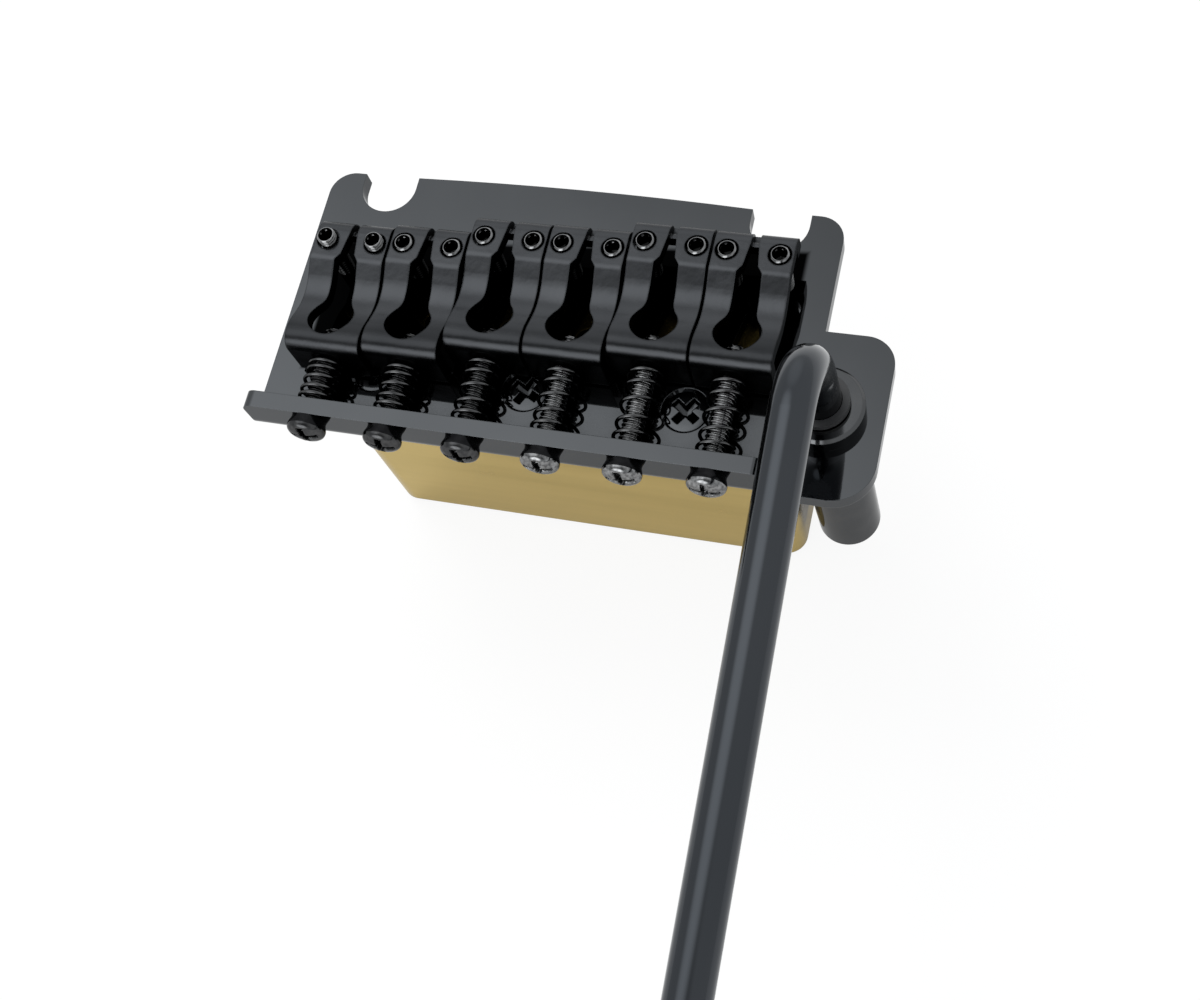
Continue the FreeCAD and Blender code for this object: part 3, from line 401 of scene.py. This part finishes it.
# painted shade: the brass colour falls to black deep in the block's holes seen through the plate
brass = metal_finish(
    "satin_brass", dark=(0.45, 0.325, 0.09), light=(0.53, 0.39, 0.125), cloud_scale=220,
    gloss=(0.24, 0.34), grain_scale=3000, grain=0.08, edge=0.0003, glance=0.8, stretch=(0.08, 1, 1),
    crowded=(0.26, 0.46))
print("large metals", [m.name for m in (gloss_black, plate_black, satin_black, socket_black, arm_black,
                                        brass)])

# %% [markdown]
# ## The small metals
# Screws and springs have the same fine grain. Some are still black and some are brighter, partly worn to
# bright steel and partly a painted highlight, and the wire and the threads have a dimmer rim, because so much
# of a thin round piece is seen at a glancing angle.

# %% Mix the small metals
SMALL = {"grain_scale": 6000, "grain": 0.05}

screw_black = metal_finish(
    "black_screw_steel", dark=(0.040, 0.040, 0.042), light=(0.080, 0.080, 0.080), cloud_scale=1500,
    gloss=(0.10, 0.18), crowded=(0.10, 0.35), **SMALL)
# partly real wear and partly a painted highlight: a brighter copy of the screw steel for the treble screws
wear_and_sheen_steel = metal_finish(
    "wear_and_sheen_screw_steel", dark=(0.075, 0.075, 0.077), light=(0.300, 0.300, 0.300), cloud_scale=2200,
    gloss=(0.08, 0.16), crowded=(0.10, 0.35), **SMALL)
rim_black = metal_finish(
    "dark_screw_rim", dark=(0.010, 0.010, 0.011), light=(0.020, 0.020, 0.021), cloud_scale=900,
    gloss=(0.20, 0.32), **SMALL)
thread_steel = metal_finish(
    "bright_thread_steel", dark=(0.200, 0.200, 0.202), light=(0.320, 0.320, 0.320), cloud_scale=300,
    gloss=(0.08, 0.16), glance=0.3, crowded=(0.05, 0.35), **SMALL)
# painted shade: much of the grub steel's colour falls to black where the saddle crowds round its sides
grub_steel = metal_finish(
    "black_grub_steel", dark=(0.160, 0.160, 0.162), light=(0.300, 0.300, 0.300), cloud_scale=1500,
    gloss=(0.08, 0.16), crowded=(0.50, 0.85), **SMALL)
spring_black = metal_finish(
    "black_spring_wire", dark=(0.070, 0.070, 0.072), light=(0.110, 0.110, 0.110), cloud_scale=700,
    gloss=(0.10, 0.18), glance=0.3, crowded=(0.05, 0.35), **SMALL)
print("small metals", [m.name for m in (screw_black, wear_and_sheen_steel, rim_black, thread_steel, grub_steel,
                                        spring_black)])

# %% [markdown]
# ## Plastics
# The bush in the socket is nylon and the arm's cap is a harder moulded plastic. Both have a soft highlight,
# a tone that drifts slightly and the fine orange-peel bump of a mould.

# %% Make the plastics
DRIFT_SCALE = 200
DRIFT_SPAN = (0.0, 1.0)
PEEL_SCALE = 2500
PEEL_DEPTH = 0.00003


def moulded_finish(name, dark, light, roughness, peel):
    """A dielectric whose colour drifts between dark and light, bumped by finer noise of strength peel."""
    material = bpy.data.materials.new(name)
    material.use_nodes = True
    tree = material.node_tree
    join = tree.links.new
    plastic = tree.nodes["Principled BSDF"]
    plastic.inputs["Roughness"].default_value = roughness
    where = add_node(tree, "TexCoord")
    drift = add_node(tree, "TexNoise", {"Scale": DRIFT_SCALE})
    tone = two_tones(tree, dark, light, DRIFT_SPAN)
    skin = add_node(tree, "TexNoise", {"Scale": PEEL_SCALE})
    bump = add_node(tree, "Bump", {"Strength": peel, "Distance": PEEL_DEPTH})
    join(where.outputs["Object"], drift.inputs["Vector"])
    join(where.outputs["Object"], skin.inputs["Vector"])
    join(drift.outputs["Fac"], tone.inputs["Fac"])
    join(tone.outputs["Color"], plastic.inputs["Base Color"])
    join(skin.outputs["Fac"], bump.inputs["Height"])
    join(bump.outputs["Normal"], plastic.inputs["Normal"])
    return material


bush_nylon = moulded_finish("black_nylon", dark=(0.018, 0.018, 0.019), light=(0.030, 0.030, 0.031),
                            roughness=0.38, peel=0.15)
tip_plastic = moulded_finish("black_cap_plastic", dark=(0.012, 0.012, 0.013), light=(0.020, 0.020, 0.021),
                             roughness=0.22, peel=0.08)
print("plastics", bush_nylon.name, tip_plastic.name)

# %% [markdown]
# ## Dressing the solids
# The plate, the block, the saddles, the socket and the arm have their true shape already, so they only get a
# finish in their material slots. The plain screws and springs are dressed too, and replaced further down.

# %% Dress the solids
DRESS = {"base_plate": plate_black, "sustain_block": brass, "arm_socket": socket_black,
         "arm_bush": bush_nylon, "tremolo_arm": arm_black, "arm_tip": tip_plastic,
         "block_screws": gloss_black}
ROW_DRESS = {"saddle": satin_black, "height_screws": screw_black, "intonation_screw": screw_black,
             "intonation_spring": spring_black}
DRESS.update({f"{node}_{k}": finish for node, finish in ROW_DRESS.items() for k in STRINGS})
for node, finish in DRESS.items():
    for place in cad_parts[node].material_slots:
        place.material = finish
print("dressed", len(DRESS), "nodes")

# %% [markdown]
# ## From arrays to a mesh
# Every new piece is a grid of points: rows along a profile or a path, columns round it. The columns close on
# themselves, rows that shrink to a point become poles, and welding equal points closes both.

# %% Turn grids into pieces
WELD = 1e-7


def ring_quads(rows, columns, first):
    """Four corners of each cell of a grid whose last column joins its first; first is the first point."""
    row = np.arange(rows - 1)[:, None] * columns
    column = np.arange(columns)[None, :]
    near = row + column
    far = row + (column + 1) % columns
    cells = np.stack([near, far, far + columns, near + columns], axis=-1)
    return cells.reshape(-1, 4) + first


def piece_from_grids(name, grids, finishes, crease):
    """One mesh from closed grids of points in millimetres: welded, and sharp where it turns beyond crease.

    The grids take the finishes in turn, and crease is an angle in degrees.
    """
    points, cells, looks, first = [], [], [], 0
    for number, grid in enumerate(grids):
        rows, columns, _ = grid.shape
        points.append(grid.reshape(-1, 3) * MM)
        cells.append(ring_quads(rows, columns, first))
        looks.append(np.full((rows - 1) * columns, number % len(finishes)))
        first += rows * columns
    mesh = bpy.data.meshes.new(name)
    mesh.from_pydata(np.concatenate(points).tolist(), [], np.concatenate(cells).tolist())
    mesh.polygons.foreach_set("material_index", np.concatenate(looks))
    shell = bmesh.new()
    shell.from_mesh(mesh)
    bmesh.ops.remove_doubles(shell, verts=shell.verts, dist=WELD)
    bmesh.ops.recalc_face_normals(shell, faces=shell.faces)
    shell.to_mesh(mesh)
    shell.free()
    mesh.shade_smooth()
    mesh.set_sharp_from_angle(angle=math.radians(crease))
    for finish in finishes:
        mesh.materials.append(finish)
    piece = bpy.data.objects.new(name, mesh)
    bpy.context.scene.collection.objects.link(piece)
    return piece


print("points closer than", WELD, "metres are welded")

# %% [markdown]
# ## Turned forms
# Screws are turned on a lathe, so their grids are circles of some radius at some height. A row of radius
# nought lies on the axis and closes the form there.


# %% Write the turned forms
def full_circle(columns):
    """Evenly spaced angles once round, as a single row."""
    return np.linspace(0, 2 * np.pi, columns, endpoint=False)[None, :]


def turned_grid(radius, height, angle):
    """Points at radius times the cosine and sine of angle, and at height along the turner's axis."""
    radius, height, angle = np.broadcast_arrays(radius, height, angle)
    return np.stack([radius * np.cos(angle), radius * np.sin(angle), height], axis=-1)


def pole_row(height, angle):
    """A row of equal points on the axis at height."""
    return turned_grid(np.zeros((1, 1)), np.full((1, 1), height), angle)


print("a pole of four points", pole_row(1.0, full_circle(4)).shape)

# %% [markdown]
# ## Screw threads and recesses
# A thread is a cylinder whose radius rises and falls with height and angle together, so one ridge climbs the
# whole way round. A cross recess is a dent whose depth depends on the distance to two crossed bars.

# %% Write the thread and the recess
RECESS_TAPER = 0.45


def thread_radius(height, angle, radius, pitch, depth):
    """Radius less depth times a rounded wave of height over pitch minus the share of a turn."""
    phase = height / pitch - angle / (2 * np.pi)
    return radius - depth * (0.5 - 0.5 * np.cos(2 * np.pi * phase))


def smooth_step(value):
    """Three v squared less two v cubed, with v held between nought and one."""
    value = np.clip(value, 0, 1)
    return value * value * (3 - 2 * value)


def cross_dent(x, y, reach, half, depth, wall):
    """Depth of a cross recess: full inside two crossed bars, falling to nought over the wall's width."""
    across = np.maximum(np.abs(x) - reach, np.abs(y) - half)
    along = np.maximum(np.abs(y) - reach, np.abs(x) - half)
    outside = np.minimum(across, along)
    slope = 1 - RECESS_TAPER * np.hypot(x, y) / reach
    return depth * slope * smooth_step(0.5 - outside / wall)


root = thread_radius(height=0.5, angle=0.0, radius=2.0, pitch=1.0, depth=0.3)
print("half a pitch up, a thread of radius 2 and depth 0.3 has radius", round(float(root), 3))

# %% [markdown]
# ## The form of an intonation screw
# The head is a low polished dome with a cross recess on a darker flared rim, and the shank is a fine thread
# of 0.6 millimetres. Each of the three is a closed grid along the screw's own axis.

# %% Shape the intonation screws
SCREW_RADIUS = 1.5
SCREW_THREAD = 0.6
SCREW_THREAD_DEPTH = 0.32
SCREW_TIP = 0.4
SHANK_COLUMNS = 40
SHANK_ROWS_PER_TURN = 12
HEAD_FOOT = 2.3
HEAD_RADIUS = 2.6
HEAD_RIM = 1.3
HEAD_HEIGHT = 2.4
HEAD_ROWS = 44
HEAD_COLUMNS = 128
HEAD_CROSS = {"reach": 1.90, "half": 0.42, "depth": 1.3, "wall": 0.16}
DOME_POWER = 3
ROW_SPREAD = 0.9
RIM_ROWS = 10
RIM_CUT = 0.4
RIM_LIP = 0.1
RIM_GAP = 0.01


def head_grid(turn):
    """A low dome: a flattened quarter circle of the radius, less the cross dent, with a floor in the rim."""
    angle = full_circle(HEAD_COLUMNS)
    radius = HEAD_RADIUS * np.linspace(0, 1, HEAD_ROWS)[:, None] ** ROW_SPREAD
    bulge = np.clip(1 - (radius / HEAD_RADIUS) ** DOME_POWER, 0, 1) ** 0.5
    dome = HEAD_RIM + (HEAD_HEIGHT - HEAD_RIM) * bulge
    x, y = radius * np.cos(angle - turn), radius * np.sin(angle - turn)
    top = turned_grid(radius, dome - cross_dent(x, y, **HEAD_CROSS), angle)
    return np.concatenate([top, pole_row(RIM_CUT, angle)])


def rim_grid():
    """A ring that swells by a smooth step from the foot's radius to the head's, closed by two floors."""
    climb = np.linspace(0, 1, RIM_ROWS)
    swell = HEAD_FOOT + (HEAD_RADIUS - HEAD_FOOT) * smooth_step(climb)
    radius = np.concatenate([[0.0], swell, [HEAD_RADIUS - RIM_GAP, 0.0]])
    height = np.concatenate([[0.0], climb * (HEAD_RIM - RIM_LIP), [HEAD_RIM - RIM_GAP, RIM_CUT - RIM_GAP]])
    return turned_grid(radius[:, None], height[:, None], full_circle(HEAD_COLUMNS))


def shank_grid(length):
    """A threaded rod from height nought to length: the thread's wave, held under a cone at the tip."""
    angle = full_circle(SHANK_COLUMNS)
    height = np.linspace(0, length, int(length / SCREW_THREAD * SHANK_ROWS_PER_TURN))[:, None]
    wave = thread_radius(height, angle, SCREW_RADIUS, SCREW_THREAD, SCREW_THREAD_DEPTH)
    held = np.minimum(wave, SCREW_RADIUS - SCREW_TIP + (length - height))
    return np.concatenate([pole_row(0.0, angle), turned_grid(held, height, angle), pole_row(length, angle)])


print("head", head_grid(0.0).shape, "rim", rim_grid().shape)

# %% [markdown]
# ## Intonation screws
# Each pulls its saddle to and fro. Its three grids become one mesh, turned so that the axis lies along the
# strings with the head to the rear. The screws of the treble strings are brighter than the others, partly
# from wear and partly a painted highlight.

# %% Build the intonation screws
STRING_PITCH = 10.8
MIDDLE_STRING = 3.5
SCREW_SHIFT = 0.5
SCREW_ACROSS = [STRING_PITCH * (k - MIDDLE_STRING) - SCREW_SHIFT for k in STRINGS]
SCREW_AXIS = 3.0
HEAD_TURNS = (0.05, -0.12, 0.10, 0.0, 0.12, -0.05)
LAID_DOWN = [0, 2, 1]
TO_THE_REAR = (1, -1, 1)
SCREW_CREASE = 50
BLACK_SCREW = [screw_black, rim_black, spring_black]
# the treble screws take the brighter copy, partly wear and partly a painted highlight
WEAR_AND_SHEEN_SCREW = [wear_and_sheen_steel, rim_black, thread_steel]

for k, across, turn in zip(STRINGS, SCREW_ACROSS, HEAD_TURNS):
    low, high = (np.array(c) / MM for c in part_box(f"intonation_screw_{k}"))
    seat = low[1] + HEAD_HEIGHT
    place = np.array([across, seat, SCREW_AXIS])
    head = head_grid(turn)[..., LAID_DOWN] * TO_THE_REAR + place
    rim = rim_grid()[..., LAID_DOWN] * TO_THE_REAR + place
    shank = shank_grid(high[1] - seat)[..., LAID_DOWN] + place
    screw = piece_from_grids(f"intonation_screw_form_{k}", [head, rim, shank],
                             WEAR_AND_SHEEN_SCREW if k > MIDDLE_STRING else BLACK_SCREW, SCREW_CREASE)
    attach(screw, f"intonation_screw_{k}")
    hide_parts(f"intonation_screw_{k}")
    print(screw.name, len(screw.data.polygons), "faces, length", round(float(high[1] - low[1]), 2), "mm")

# %% [markdown]
# ## Height screws
# Two grub screws carry each saddle. Seen from above they are a thin bright ring round a dark hole, so the
# grid runs up the threaded side, over the bevelled ring, down a round mouth and into the six-sided socket.

# %% Build the height screws
HEIGHT_ACROSS = 3.42
GRUB_RADIUS = 1.25
GRUB_THREAD = 0.5
GRUB_THREAD_DEPTH = 0.2
GRUB_BEVEL = 0.15
GRUB_COLUMNS = 60
GRUB_ROWS_PER_TURN = 8
GRUB_CREASE = 35
LEFT_TURN = 0.2
RIGHT_START = 0.5
RIGHT_TURN = 0.3
MOUTH_TOP = 1.02
MOUTH_FOOT = 0.93
MOUTH_DEPTH = 0.25
HEX_ACROSS = 1.6
HEX_START = 0.4
HEX_DEPTH = 2.2
HEX_POINT = 0.3
SIXTH = np.pi / 3


def hexagon_radius(angle, across):
    """Distance to a hexagon's side: half its width over the cosine of the angle from the nearest flat."""
    nearest = (angle + SIXTH / 2) % SIXTH - SIXTH / 2
    return across / 2 / np.cos(nearest)


def grub_grid(foot, top, turn):
    """Threaded rod from foot to top with a socket: foot pole, thread, bevel, ring, mouth, hexagon, floor."""
    angle = full_circle(GRUB_COLUMNS)
    height = np.linspace(foot, top, int((top - foot) / GRUB_THREAD * GRUB_ROWS_PER_TURN))[:, None]
    wave = thread_radius(height, angle, GRUB_RADIUS, GRUB_THREAD, GRUB_THREAD_DEPTH)
    bevel = GRUB_RADIUS - GRUB_BEVEL + np.minimum(height - foot, top - height)
    side = turned_grid(np.minimum(wave, bevel), height, angle)
    six = hexagon_radius(angle + turn, HEX_ACROSS)
    even = np.ones_like(angle)
    inside = np.concatenate([MOUTH_TOP * even, MOUTH_FOOT * even, six, six, 0 * even])
    depths = np.array([0.0, MOUTH_DEPTH, HEX_START, HEX_DEPTH, HEX_DEPTH + HEX_POINT])[:, None]
    return np.concatenate([pole_row(foot, angle), side, turned_grid(inside, top - depths, angle)])


for k in STRINGS:
    low, high = (np.array(c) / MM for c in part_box(f"height_screws_{k}"))
    middle = (low + high) / 2
    shift_left = np.array([middle[0] - HEIGHT_ACROSS, middle[1], 0])
    shift_right = np.array([middle[0] + HEIGHT_ACROSS, middle[1], 0])
    left = grub_grid(low[2], high[2], LEFT_TURN * k) + shift_left
    right = grub_grid(low[2], high[2], RIGHT_START - RIGHT_TURN * k) + shift_right
    pair = piece_from_grids(f"height_screw_pair_{k}", [left, right], [grub_steel],
                            GRUB_CREASE)
    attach(pair, f"height_screws_{k}")
    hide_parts(f"height_screws_{k}")
    print(pair.name, len(pair.data.polygons), "faces, top", round(float(high[2]), 2), "mm")

# %% [markdown]
# ## Block screws
# Three countersunk screws hold the plate on the block. Only the flat heads show, with a cross recess that is
# wider than that of the small screws. A cone under the head leads to the thread.

# %% Build the block screws
BLOCK_SCREW_ACROSS = (-22.1, -0.5, 21.1)
BLOCK_SCREW_BACK = -28.45
BLOCK_SCREW_TURNS = (0.2, 1.1, 0.95)
BLOCK_SCREW_RADIUS = 1.75
BLOCK_SCREW_FOOT = -15.0
BLOCK_THREAD = 0.7
BLOCK_THREAD_DEPTH = 0.3
BLOCK_THREAD_ROWS = 150
BLOCK_HEAD_RADIUS = 2.9
BLOCK_HEAD_TOP = -0.25
BLOCK_HEAD_EDGE = 0.2
BLOCK_CROSS = {"reach": 1.95, "half": 0.48, "depth": 1.5, "wall": 0.18}
CROWN_FALL = 0.12
CROWN_POWER = 6


def countersunk_grid(turn):
    """A flat head that falls a little to its edge, less the cross dent, then a cone and a threaded rod."""
    angle = full_circle(HEAD_COLUMNS)
    radius = BLOCK_HEAD_RADIUS * np.linspace(0, 1, HEAD_ROWS)[:, None]
    x, y = radius * np.cos(angle - turn), radius * np.sin(angle - turn)
    crown = BLOCK_HEAD_TOP - CROWN_FALL * (radius / BLOCK_HEAD_RADIUS) ** CROWN_POWER
    top = turned_grid(radius, crown - cross_dent(x, y, **BLOCK_CROSS), angle)
    neck = BLOCK_HEAD_TOP - BLOCK_HEAD_EDGE - (BLOCK_HEAD_RADIUS - BLOCK_SCREW_RADIUS)
    height = np.linspace(neck, BLOCK_SCREW_FOOT, BLOCK_THREAD_ROWS)[:, None]
    wave = thread_radius(height, angle, BLOCK_SCREW_RADIUS, BLOCK_THREAD, BLOCK_THREAD_DEPTH)
    return np.concatenate([top, turned_grid(wave, height, angle), pole_row(BLOCK_SCREW_FOOT, angle)])


heads = [countersunk_grid(turn) + np.array([across, BLOCK_SCREW_BACK, 0])
         for across, turn in zip(BLOCK_SCREW_ACROSS, BLOCK_SCREW_TURNS)]
plate_screws = piece_from_grids("plate_screw_set", heads, [gloss_black], SCREW_CREASE)
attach(plate_screws, "bridge")
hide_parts("block_screws")
print(plate_screws.name, len(plate_screws.data.polygons), "faces")

# %% [markdown]
# ## Intonation springs
# A spring is a round wire along a helix. The turns lie close at both ends, where the wire rests on the flange
# and on the saddle, and open in the middle, so the height is eased with the angle.

# %% Wind the springs
SETBACKS = (13.57, 13.0, 10.72, 10.58, 9.05, 9.13)
SADDLE_REAR = 16.0
FLANGE_FACE = -35.75
SPRING_GAP = 0.05
SPRING_CREASE = 60
COIL_RADIUS = 2.15
COIL_TURNS = 5.0
COIL_ROWS_PER_TURN = 48
COIL_EASE = 0.55
WIRE_RADIUS = 0.25
WIRE_COLUMNS = 14


def spring_grid(length):
    """A tube round a helix: its centre runs on a circle and its height rises slowly, faster, slowly."""
    count = int(COIL_TURNS * COIL_ROWS_PER_TURN)
    share = np.linspace(0, 1, count)
    angle = share * COIL_TURNS * 2 * np.pi
    half_turn = 0.5 / COIL_TURNS
    rise = share - np.sin(2 * np.pi * share) * half_turn * COIL_EASE
    height = WIRE_RADIUS + rise * (length - 2 * WIRE_RADIUS)
    centre = np.stack([COIL_RADIUS * np.cos(angle), COIL_RADIUS * np.sin(angle), height], axis=-1)
    along = np.gradient(centre, axis=0)
    along /= np.linalg.norm(along, axis=1, keepdims=True)
    outward = np.stack([np.cos(angle), np.sin(angle), np.zeros(count)], axis=-1)
    side = np.cross(along, outward)
    wire = full_circle(WIRE_COLUMNS)[..., None]
    tube = centre[:, None, :] + WIRE_RADIUS * (np.cos(wire) * outward[:, None, :]
                                               + np.sin(wire) * side[:, None, :])
    first = np.repeat(centre[:1, None, :], WIRE_COLUMNS, axis=1)
    last = np.repeat(centre[-1:, None, :], WIRE_COLUMNS, axis=1)
    return np.concatenate([first, tube, last])


for k, across, setback in zip(STRINGS, SCREW_ACROSS, SETBACKS):
    saddle_face = -setback - SADDLE_REAR
    coil = spring_grid(saddle_face - FLANGE_FACE - 2 * SPRING_GAP)
    coil = np.stack([across + coil[..., 0], FLANGE_FACE + SPRING_GAP + coil[..., 2],
                     SCREW_AXIS - coil[..., 1]], axis=-1)
    spring = piece_from_grids(f"intonation_spring_form_{k}", [coil], [spring_black],
                              SPRING_CREASE)
    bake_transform(spring)
    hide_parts(f"intonation_spring_{k}")
    print(spring.name, "turns", COIL_TURNS, "length", round(saddle_face - FLANGE_FACE, 2), "mm")

# %% [markdown]
# ## The finished bridge
# The box of the dressed bridge is printed.

# %% Measure and finish
low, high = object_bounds()
print("visual box", [round(v, 4) for v in (*low, *high)])
